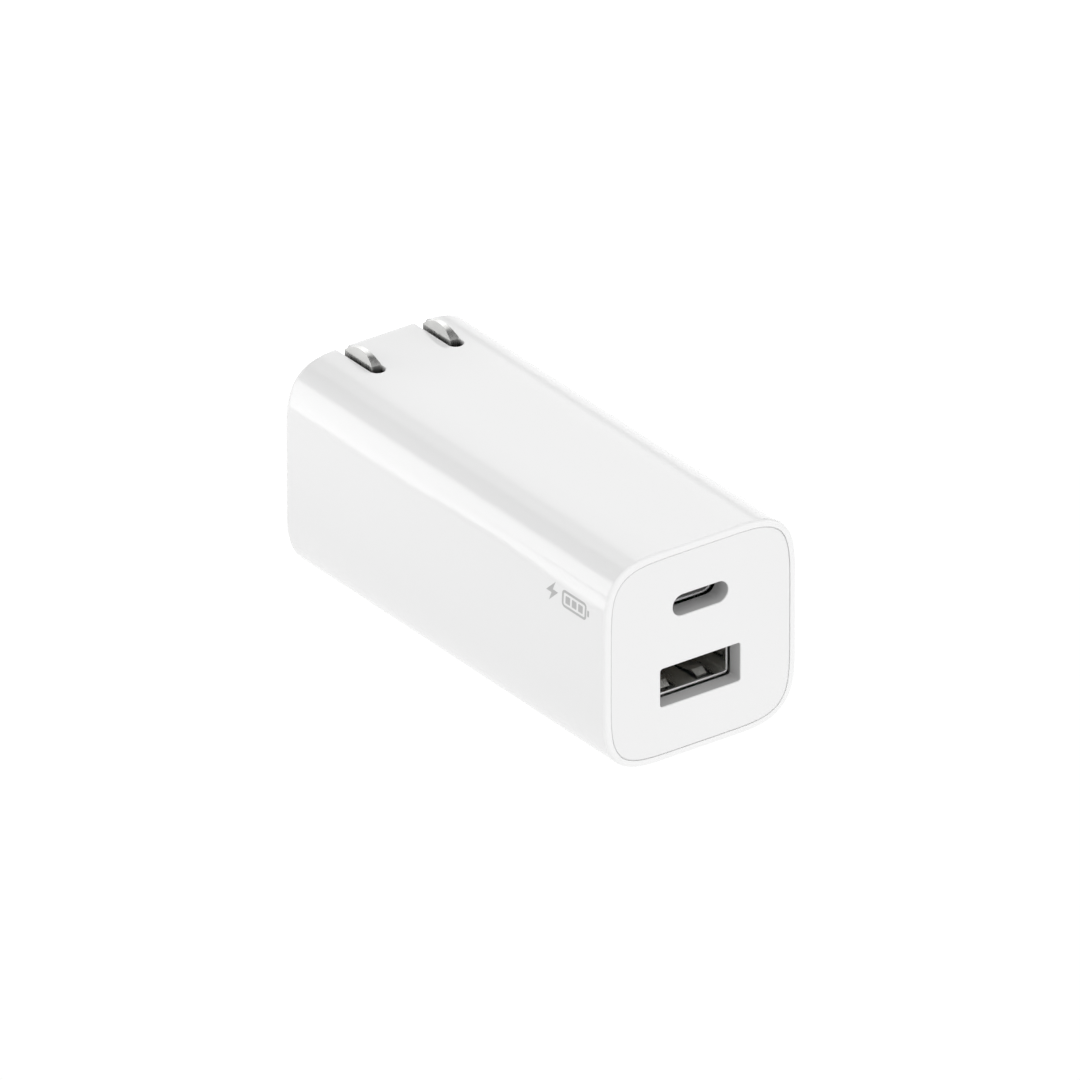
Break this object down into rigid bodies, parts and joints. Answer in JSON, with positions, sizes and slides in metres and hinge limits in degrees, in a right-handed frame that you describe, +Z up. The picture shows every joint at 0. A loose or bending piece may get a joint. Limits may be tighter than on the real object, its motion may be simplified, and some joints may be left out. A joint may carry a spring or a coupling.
{
  "type": "wall plug usb power adapter",
  "caption": "Compact square white wall-plug power adapter with folding mains blades in its back and USB-C and USB-A ports in its front panel.",
  "frame": {"origin": "centre of the underside, midway between the front panel and the back face", "axes": "+Y from the ports to the back where the blades leave, +X to the right seen from the front, +Z up, towards the tips of the folded blades"},
  "size_m": [0.031, 0.072, 0.0326],
  "materials": {
    "shell_plastic": "glossy white moulding",
    "panel_plastic": "fine satin white moulding",
    "cradle_plastic": "dark satin moulding",
    "spindle_plastic": "satin white insulating moulding",
    "blade_metal": "nickel plated, ground edges",
    "spring_metal": "rolled phosphor bronze",
    "port_metal": "tin plated pressed sheet",
    "tongue_plastic": "white moulding",
    "dark_plastic": "black moulding",
    "contact_metal": "gold plated",
    "board": "green solder mask",
    "chip_plastic": "black moulding compound",
    "ferrite": "sintered ferrite",
    "tape": "yellow polyester tape",
    "copper_wire": "enamelled copper wire",
    "can_metal": "drawn aluminium can",
    "sleeve": "sleeved aluminium can",
    "film_case": "cast case",
    "ceramic_blue": "dipped ceramic disc",
    "liner_film": "black polyester film",
    "spreader_metal": "rolled sheet",
    "pad_rubber": "soft gap pad"
  },
  "bodies": {
    "housing": {"blade_cradle": "cradle_plastic", "bridge_rectifier": "chip_plastic", "bulk_capacitor_left": "sleeve", "bulk_capacitor_right": "sleeve", "choke_base": "dark_plastic", "choke_core": "ferrite", "choke_winding_left": "copper_wire", "choke_winding_right": "copper_wire", "contact_leaf_left": "spring_metal", "contact_leaf_right": "spring_metal", "control_chip": "chip_plastic", "detent_spring": "port_metal", "front_panel": "panel_plastic", "fuse": "dark_plastic", "heat_spreader": "spreader_metal", "insulating_liner": "liner_film", "journal_keeper_left": "cradle_plastic", "journal_keeper_right": "cradle_plastic", "main_board": "board", "optocoupler": "chip_plastic", "outer_shell": "shell_plastic", "output_board": "board", "output_capacitor_left": "can_metal", "output_capacitor_right": "can_metal", "primary_switch": "chip_plastic", "protocol_chip": "chip_plastic", "sync_rectifier": "chip_plastic", "thermal_pad_left": "pad_rubber", "thermal_pad_right": "pad_rubber", "transformer_bobbin": "dark_plastic", "transformer_core_lower": "ferrite", "transformer_core_upper": "ferrite", "transformer_winding": "tape", "usb_a_base": "dark_plastic", "usb_a_contacts": "contact_metal", "usb_a_shell": "port_metal", "usb_a_tongue": "tongue_plastic", "usb_c_base": "dark_plastic", "usb_c_contacts": "contact_metal", "usb_c_shell": "port_metal", "usb_c_tongue": "dark_plastic", "x_capacitor": "film_case", "y_capacitor": "ceramic_blue"},
    "blades": {"blade_spindle": "spindle_plastic", "blade_left": "blade_metal", "blade_right": "blade_metal"}
  },
  "joints": [
    {"name": "blade_fold", "type": "hinge", "parent": "housing", "child": "blades", "pos_m": [0, 0.03085, 0.01075], "axis": [-1, 0, 0], "range_deg": [0, 90]}
  ]
}
